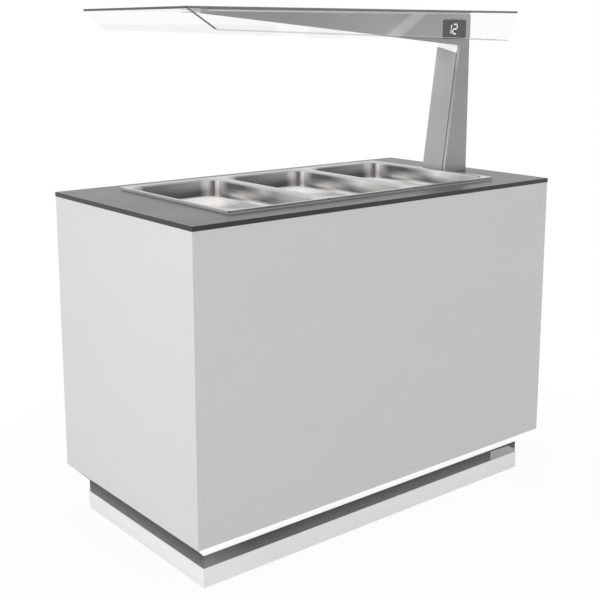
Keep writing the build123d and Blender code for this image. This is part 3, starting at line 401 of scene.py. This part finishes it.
def post_steel(name, colour, cheek):
    """Satin steel with an upright grain, with painted light on edges turned to the left and painted shade at
    the foot.
    A cheek has a painted slanting sheen beside the display, and a cover has painted light that grows below
    the lamp in the corner.
    """
    foot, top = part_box("post_foot")[1].z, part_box("post_inner_cover")[1].z
    foot_shade_reach, foot_shade_cover, painted_top_reach, painted_top_gain = 0.016, 0.32, 0.17, 1.34
    s = Shader(name)
    across, height = s.axis(s.place, "X"), s.axis(s.place, "Z")
    fine = s.noise(900, (1, 1, 0.05), detail=3)
    tone = s.mix(s.spread(s.noise(5), 0, 1), rgba(colour, 0.98), rgba(colour, 1.02))
    tone = s.mix(s.spread(fine, 0.0, 0.3), tone, rgba(colour, 0.96))
    # Painted light on faces turned to the left
    edge = cheek_painted_edge_light(s, height, colour) if cheek else rgba(colour, 1.15)
    tone = s.mix(s.ramp(s.axis(s.facing, "X"), -0.5, -0.8), tone, edge)
    # Painted shade at the foot
    tone = s.mix(s.ramp(height, foot, foot + foot_shade_reach, foot_shade_cover, 0.0), tone, rgba(colour, 0.35))
    if cheek:
        # Painted slanting sheen, and painted light and shade along a cheek
        tone = s.mix(cheek_painted_sheen(s, across, height), tone, rgba(colour, 2.3))
        painted_lift = cheek_painted_light(s, across, height, foot)
    else:
        # Painted light on the cover, growing towards the lamp in the corner
        painted_lift = s.ramp(height, top - painted_top_reach, top, 1.0, painted_top_gain)
    s.set(Base_Color=s.tint(tone, painted_lift), Roughness=s.spread(s.noise(11), 0.38, 0.46), Metallic=0.25)
    s.bump(fine, 0.03, 0.0002)
    return s.material


# Glass
def pane(node, left, right, level, painted_strips=()):
    """Clear glass with edges painted in a given grey as painted shade, for the dark look of glass edges, or
    clear edges for None. A strip is a painted dark border on its faces, of a given width, grey and cover,
    beside the edge that looks furthest down an axis.
    """
    clear_tint, edge_mottle_grey, face_limit, side_limit = (0.966, 0.969, 0.967, 1), 0.5, 0.9, 0.4
    mesh = nodes[node].data
    s = Shader(node + "_clear")
    face_normal = max(mesh.polygons, key=lambda face: face.area).normal
    likeness = s.math("ABSOLUTE", s.measure("DOT_PRODUCT", s.facing, face_normal))
    clear = s.math("GREATER_THAN", likeness, face_limit)
    outside = s.math("SUBTRACT", 1.0, s.add("ShaderNodeNewGeometry").outputs["Backfacing"])
    across = s.axis(s.facing, "X")
    # Painted shade on the edges, with a grey for each end and one for the rest
    edge, solid = rgba(grey(level or 1)), float(level is not None)
    for sign, value in ((-1, left), (1, right)):
        mask = s.math("GREATER_THAN", s.math("MULTIPLY", across, sign), side_limit)
        edge = s.mix(mask, edge, rgba(grey(value or 1)))
        other = s.product(s.math("SUBTRACT", 1.0, mask), solid)
        solid = s.math("MAXIMUM", s.product(mask, float(value is not None)), other)
    solid = s.product(solid, outside)
    # Painted dark borders on the faces
    for letter, width, value, cover in painted_strips:
        inward = -min(mesh.polygons, key=lambda face: getattr(face.normal, letter)).normal
        border = min(vertex.co.dot(inward) for vertex in mesh.vertices) + width
        mask = s.math("LESS_THAN", s.measure("DOT_PRODUCT", s.place, inward), border)
        rest = s.math("SUBTRACT", 1.0, mask)
        edge = s.mix(mask, edge, value)
        clear = s.product(clear, rest)
        solid = s.math("ADD", s.product(solid, rest), s.product(mask, cover))
    edge = s.mix(s.spread(s.noise(220), 0, 0.2), edge, edge_mottle_grey)
    path = s.add("ShaderNodeLightPath").outputs
    passing = s.product(clear, s.math("MAXIMUM", path["Is Shadow Ray"], path["Is Diffuse Ray"]))
    s.set(Base_Color=s.mix(clear, edge, clear_tint), Transmission_Weight=clear, IOR=1.45,
          Alpha=s.math("SUBTRACT", s.math("MAXIMUM", clear, solid), passing),
          Roughness=s.spread(s.noise(3), 0.0, 0.02))
    return s.material


# Finish of every node
def dress(material, *names):
    for name in names:
        data = nodes[name].data
        data.materials.clear()
        data.materials.append(material)


def soften(mesh, sharp_angle):
    """Soft shading, with edges sharper than an angle in degrees kept."""
    mesh.shade_smooth()
    mesh.set_sharp_from_angle(angle=math.radians(sharp_angle))


def dress_body():
    """Cladding, worktop, plinth, light strip and frame."""
    dress(surface("board", grey(0.66), 0.4, vary=0.008, scale=3, grain=1500, bump=0.03, depth=0.0002),
          "front_panel", "left_panel", "right_panel", "rear_panel_left", "rear_panel_right", "service_door")
    dress(worktop_slab(), "worktop")
    dress(surface("kick_board", (0.94, 0.927, 0.924), 0.5, vary=0.015, scale=4), "kick_boards")
    dress(painted_shade_dark_board("dark_trim", grey(0.072)), "plinth_band", "side_skirts")
    dress(surface("light_housing", grey(0.6), 0.35, metallic=1.0, stretch=(1, 30, 30)), "light_housing")
    dress(lit_plastic("diffuser", grey(0.92), 0.42), "light_diffuser")
    dress(surface("frame_paint", (0.1, 0.105, 0.11), 0.45, vary=0.08),
          "base_frame", "top_frame", "corner_uprights", "post_anchor", "unit_tray")
    dress(surface("zinc", (0.55, 0.56, 0.57), 0.42, metallic=1.0, vary=0.14, scale=26),
          "well_casing", "bottom_panel", "control_box")
    dress(surface("hinge_steel", grey(0.5), 0.34, metallic=1.0, stretch=(1, 1, 20)),
          "door_hinge_leaves", "frame_hinge_leaves")
    dress(surface("bright_metal", grey(0.75), 0.12, metallic=1.0, vary=0.04, bump=0.02),
          "latch", "post_bolts")
    dress(surface("black_plastic", grey(0.016), 0.45, vary=0.2, scale=60, grain=1800, bump=0.15),
          "switch_bezel", "cable_gland", "levelling_feet")
    dress(surface("rocker_black", grey(0.012), 0.2, vary=0.2, scale=90), "switch_rocker")


def dress_well():
    """Cooled well with its pans and its drain."""
    dress(surface("foam", (0.8, 0.7, 0.45), 0.9, vary=0.1, scale=60, bump=0.5, depth=0.001),
          "well_insulation")
    dress(surface("stainless", (0.66, 0.65, 0.63), 0.34, metallic=1.0, scale=5, stretch=(1, 40, 40),
                  grain=700, grain_stretch=(0.06, 1, 1), bump=0.04),
          "well_tub", "pan_bars", "drain_pipe")
    # Each pan has its own painted highlight on its side walls
    for pan, painted_gleam in (("pan_1", 0.38), ("pan_2", 0.9), ("pan_3", 1.0)):
        dress(pan_steel(pan, painted_gleam), pan)
    dress(surface("valve_brass", (0.7, 0.55, 0.26), 0.34, metallic=1.0, vary=0.1, scale=50), "drain_valve")
    dress(surface("lever_red", (0.5, 0.03, 0.02), 0.35, vary=0.1, scale=60), "drain_lever")


def dress_unit():
    """Cooling unit and its lines."""
    dress(surface("copper", (0.72, 0.38, 0.22), 0.34, metallic=1.0, vary=0.12, scale=40),
          "evaporator_coil", "suction_line", "liquid_line", "discharge_line")
    dress(surface("compressor_black", grey(0.02), 0.36, vary=0.2, scale=30, grain=400, bump=0.2),
          "compressor")
    dress(surface("fins", (0.7, 0.71, 0.72), 0.35, metallic=1.0, vary=0.08, scale=30), "condenser")
    dress(surface("shroud_black", grey(0.03), 0.48, vary=0.15, scale=20), "fan_shroud", "fan_motor")
    dress(surface("rotor_black", grey(0.025), 0.4, vary=0.15, scale=25), "fan_rotor")


def dress_guard():
    """Post, beam, display and glass."""
    dress(post_steel("post_satin", (0.336, 0.331, 0.324), cheek=True),
          "front_cheek", "rear_cheek", "post_outer_cover", "beam_top_plate", "post_foot")
    dress(post_steel("cover_satin", (0.418, 0.414, 0.406), cheek=False), "post_inner_cover")
    dress(lit_plastic("corner_light", grey(0.92), 0.5), "corner_diffuser")
    dress(surface("beam_underside", grey(0.45), 0.45, vary=0.04, scale=12), "beam_diffuser")
    dress(surface("display_smoke", grey(0.012), 0.34, scale=20, bump=0.0, Specular_IOR_Level=0.12),
          "display_window")
    dress(surface("disc_metal", grey(0.62), 0.34, metallic=1.0), "glass_discs")
    # The greys given to each pane are painted shade on its edges and borders
    dress(pane("top_glass", 0.03, 0.3, 0.15), "top_glass")
    dress(pane("front_glass", 0.12, 0.3, 0.5, [("x", 0.003, 0.14, 1.0), ("z", 0.003, 0.08, 0.22)]),
          "front_glass")
    dress(pane("rear_glass", None, 0.3, None), "rear_glass")


def soften_nodes():
    curved = ("pan_1", "pan_2", "pan_3", "well_tub", "drain_pipe", "drain_valve", "drain_lever",
              "compressor", "fan_rotor", "fan_motor", "fan_shroud", "suction_line", "liquid_line",
              "discharge_line", "evaporator_coil", "latch", "levelling_feet", "door_hinge_leaves",
              "frame_hinge_leaves", "switch_rocker", "display_window", "front_cheek", "glass_discs",
              "cable_gland", "post_bolts", "service_door")
    for name in curved:
        soften(nodes[name].data, sharp_angle=28)


# Detail pieces
def add_piece(name, mesh, material, body):
    """Turns a finished bmesh into a piece that rides on a body."""
    data = bpy.data.meshes.new(name)
    bmesh.ops.recalc_face_normals(mesh, faces=mesh.faces)
    mesh.to_mesh(data)
    mesh.free()
    data.materials.append(material)
    soften(data, sharp_angle=35)
    piece = bpy.data.objects.new(name, data)
    scene.collection.objects.link(piece)
    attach(piece, body)


def add_shell(mesh, rings):
    """Quads between each ring of vertices and the next, with the first and the last ring closed."""
    for a, b in zip(rings, rings[1:]):
        for i in range(len(a)):
            j = (i + 1) % len(a)
            mesh.faces.new((a[i], a[j], b[j], b[i]))
    mesh.faces.new(rings[-1])
    mesh.faces.new(reversed(rings[0]))


def add_screw(mesh, place, facing, radius):
    """Domed screw head with a hexagon socket, seated on a face that looks along the given direction. The
    sizes of its dome and socket are shares of its radius.
    """
    sides, sixth = 24, math.pi / 3
    dome = ((1.0, -0.15), (1.0, 0.10), (0.93, 0.26), (0.76, 0.38), (0.56, 0.43))
    socket, socket_top, socket_floor = 0.46, 0.40, 0.12
    seat = Matrix.Translation(place) @ facing.to_track_quat("Z", "Y").to_matrix().to_4x4()
    angles = [2 * math.pi * i / sides for i in range(sides)]
    hexagon = [socket * math.cos(sixth / 2) / math.cos(a % sixth - sixth / 2) for a in angles]
    levels = [([share] * sides, rise) for share, rise in dome]
    levels += [(hexagon, socket_top), (hexagon, socket_floor)]
    rings = []
    for reach, rise in levels:
        ring = [Vector((r * math.cos(a), r * math.sin(a), rise)) for r, a in zip(reach, angles)]
        rings.append([mesh.verts.new(seat @ (v * radius)) for v in ring])
    add_shell(mesh, rings)


def add_board_screws(steel):
    rear, radius, inset = Vector((0, 1, 0)), 0.0045, 0.03
    mesh = bmesh.new()
    for name in ("rear_panel_left", "rear_panel_right"):
        low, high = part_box(name)
        for x in (low.x + inset, high.x - inset):
            for share in (0.04, 0.5, 0.96):
                add_screw(mesh, (x, high.y, low.z + share * (high.z - low.z)), rear, radius)
    add_piece("rear_board_screws", mesh, steel, "counter")


def add_hinge_screws(steel):
    """Two screws in each leaf of the two hinges, on the door and on the frame."""
    rear, door_radius, frame_radius = Vector((0, 1, 0)), 0.0028, 0.0034
    knuckle, leaf_thickness, from_axis, door_spread = 0.022, 0.002, 0.016, 0.005
    half_hinge = 1.5 * knuckle
    leaf_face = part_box("service_door")[1].y + leaf_thickness
    axis_x = (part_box("frame_hinge_leaves")[0].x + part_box("door_hinge_leaves")[1].x) / 2
    low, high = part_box("frame_hinge_leaves")
    door, fixed = bmesh.new(), bmesh.new()
    for z in (low.z + half_hinge, high.z - half_hinge):
        for side in (-1, 1):
            add_screw(door, (axis_x - from_axis, leaf_face, z + side * door_spread), rear, door_radius)
            add_screw(fixed, (axis_x + from_axis, leaf_face, z + side * knuckle), rear, frame_radius)
    add_piece("door_hinge_screws", door, steel, "door")
    add_piece("frame_hinge_screws", fixed, steel, "counter")


def add_cover_screws(steel):
    right, radius = Vector((1, 0, 0)), 0.0035
    low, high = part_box("post_outer_cover")
    mesh = bmesh.new()
    for share in (0.06, 0.5, 0.94):
        add_screw(mesh, (high.x, 0, low.z + share * (high.z - low.z)), right, radius)
    add_piece("post_cover_screws", mesh, steel, "counter")


def add_screws():
    steel = surface("screw_steel", grey(0.55), 0.34, metallic=1.0, vary=0.06, scale=200, bump=0.02)
    add_board_screws(steel)
    add_hinge_screws(steel)
    add_cover_screws(steel)


def add_bar(mesh, place, start, end, half):
    """Display bar with pointed ends from start to end, standing a little proud of the window."""
    sunk, proud = -0.0002, 0.0003
    along = (end - start).normalized()
    across = Vector((-along.y, along.x))
    outline = [start, start + half * (along + across), end + half * (across - along), end,
               end - half * (along + across), start + half * (along - across)]
    add_shell(mesh, [[mesh.verts.new(place(p, rise)) for p in outline] for rise in (sunk, proud)])


def add_digits():
    """Temperature reading in seven-bar digits on the display window."""
    width, height, half, slant, gap, to_left = 0.017, 0.029, 0.0022, 0.14, 0.0005, 0.005
    one_shift, two_shift = -1.6 * width, -0.1 * width
    low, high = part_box("display_window")
    foot = Vector(((low.x + high.x) / 2 - to_left, low.y, (low.z + high.z - height) / 2))
    corners = {"lb": (0, 0), "rb": (width, 0), "lm": (0, height / 2), "rm": (width, height / 2),
               "lt": (0, height), "rt": (width, height)}
    one = (("rm", "rt"), ("rb", "rm"))
    two = (("lt", "rt"), ("rm", "rt"), ("lm", "rm"), ("lb", "lm"), ("lb", "rb"))
    mesh = bmesh.new()
    for bars, shift in ((one, one_shift), (two, two_shift)):
        def place(point, rise, shift=shift):
            return foot + Vector((shift + point.x + slant * (point.y - height / 2), -rise, point.y))

        for ends in bars:
            start, end = (Vector(corners[name]) for name in ends)
            trim = (end - start).normalized() * gap
            add_bar(mesh, place, start + trim, end - trim, half)
    white = lit_plastic("digit_white", (0.9, 0.91, 0.92), 0.2)
    add_piece("display_digits", mesh, white, "counter")


def add_strip(name, outline, y0, y1, bevel, material):
    """Flat piece with softened edges: an outline in X and Z, drawn from y0 to y1."""
    mesh = bmesh.new()
    add_shell(mesh, [[mesh.verts.new((x, y, z)) for x, z in outline] for y in (y0, y1)])
    bmesh.ops.bevel(mesh, geom=mesh.edges[:], offset=bevel, segments=2, affect="EDGES", profile=0.5)
    add_piece(name, mesh, material, "counter")


def add_gaskets():
    """Strips between the beam and the glass, one along each cheek."""
    end_inset, gap, thickness, bevel = 0.03, 0.002, 0.005, 0.0006
    rubber = surface("gasket_grey", grey(0.62), 0.6, scale=40)
    low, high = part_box("beam_top_plate")
    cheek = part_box("front_cheek")[0].y
    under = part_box("top_glass")[0].z
    start = low.x + end_inset
    outline = [(start, high.z), (high.x, high.z), (high.x, under), (start, under)]
    for name, side in (("gasket_front", 1), ("gasket_rear", -1)):
        y0, y1 = sorted((side * (cheek + gap), side * (cheek + gap + thickness)))
        add_strip(name, outline, y0, y1, bevel, rubber)


def add_end_plate():
    """Small slanting plate at the right-hand end of the dark band under the light."""
    width, inset, bevel, proud, sunk = 0.118, 0.001, 0.0004, 0.0012, 0.0005
    right_share, bend_share, left_share, bend_reach = 0.25, 0.78, 0.84, 0.3
    metal = surface("end_plate", grey(0.4), 0.4, vary=0.03, scale=30)
    low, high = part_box("plinth_band")
    right, foot, rise = high.x - inset, low.z + inset, high.z - low.z
    bend = right - bend_reach * width
    outline = [(right - width, foot), (right, foot), (right, low.z + right_share * rise),
               (bend, low.z + bend_share * rise), (right - width, low.z + left_share * rise)]
    add_strip("band_end_plate", outline, low.y - proud, low.y + sunk, bevel, metal)


# Studio: pale floor, white surroundings and three soft lamps
def seen_white(tree):
    """One for rays from the camera, from gloss and through glass, and nought for the light itself."""
    path = tree.nodes.new("ShaderNodeLightPath").outputs
    total = path["Is Camera Ray"]
    for name in ("Is Glossy Ray", "Is Transmission Ray"):
        either = tree.nodes.new("ShaderNodeMath")
        either.operation = "MAXIMUM"
        tree.links.new(total, either.inputs[0])
        tree.links.new(path[name], either.inputs[1])
        total = either.outputs[0]
    return total


def blend_shaders(tree, share, first, second, output):
    """Shows the second shader by its share, and the first one otherwise."""
    mix = tree.nodes.new("ShaderNodeMixShader")
    for source, socket in zip((share, first.outputs[0], second.outputs[0]), mix.inputs):
        tree.links.new(source, socket)
    tree.links.new(mix.outputs[0], tree.nodes[output].inputs["Surface"])


def add_floor():
    """Pale floor that fades to white, and keeps a faint shadow near the object."""
    size, shadow_reach, white_reach, near_white = 14, 0.75, 1.5, 0.93
    mesh = bpy.data.meshes.new("floor")
    corners = [(-size, -size, 0), (size, -size, 0), (size, size, 0), (-size, size, 0)]
    mesh.from_pydata(corners, [], [(0, 1, 2, 3)])
    floor = bpy.data.objects.new("floor", mesh)
    scene.collection.objects.link(floor)
    s = Shader("floor")
    s.set(Base_Color=rgba(grey(0.82)), Roughness=0.9)
    white = s.ramp(s.measure("LENGTH", s.place), shadow_reach, white_reach, near_white, 1.0)
    share = s.product(seen_white(s.tree), white)
    blend_shaders(s.tree, share, s.bsdf, s.add("ShaderNodeEmission"), "Material Output")
    mesh.materials.append(s.material)


def add_world():
    world = bpy.data.worlds.new("studio")
    scene.world = world
    world.use_nodes = True
    tree = world.node_tree
    light, white = tree.nodes["Background"], tree.nodes.new("ShaderNodeBackground")
    for background, strength in ((light, 0.5), (white, 1.0)):
        background.inputs["Color"].default_value = rgba(grey(1.0))
        background.inputs["Strength"].default_value = strength
    blend_shaders(tree, seen_white(tree), light, white, "World Output")


def add_lamp(name, place, target, size, power):
    data = bpy.data.lights.new(name, "AREA")
    data.shape = "RECTANGLE"
    data.size, data.size_y = size
    data.energy = power
    lamp = bpy.data.objects.new(name, data)
    lamp.location = place
    lamp.rotation_euler = (Vector(target) - Vector(place)).to_track_quat("-Z", "Y").to_euler()
    # No mirror image of a lamp veils what stands behind the glass
    lamp.visible_glossy = lamp.visible_transmission = False
    scene.collection.objects.link(lamp)


add_camera()
dress_body()
dress_well()
dress_unit()
dress_guard()
soften_nodes()
add_screws()
add_digits()
add_gaskets()
add_end_plate()
add_floor()
add_world()
add_lamp("lamp_left", place=(-3.6, -0.6, 2.2), target=(0, 0, 0.6), size=(2.4, 2.4), power=62)
add_lamp("lamp_front", place=(0.8, -3.8, 2.6), target=(0, 0, 0.6), size=(2.6, 2.0), power=30)
add_lamp("lamp_top", place=(0, 0.6, 3.6), target=(0, 0, 0.9), size=(2.6, 2.0), power=40)
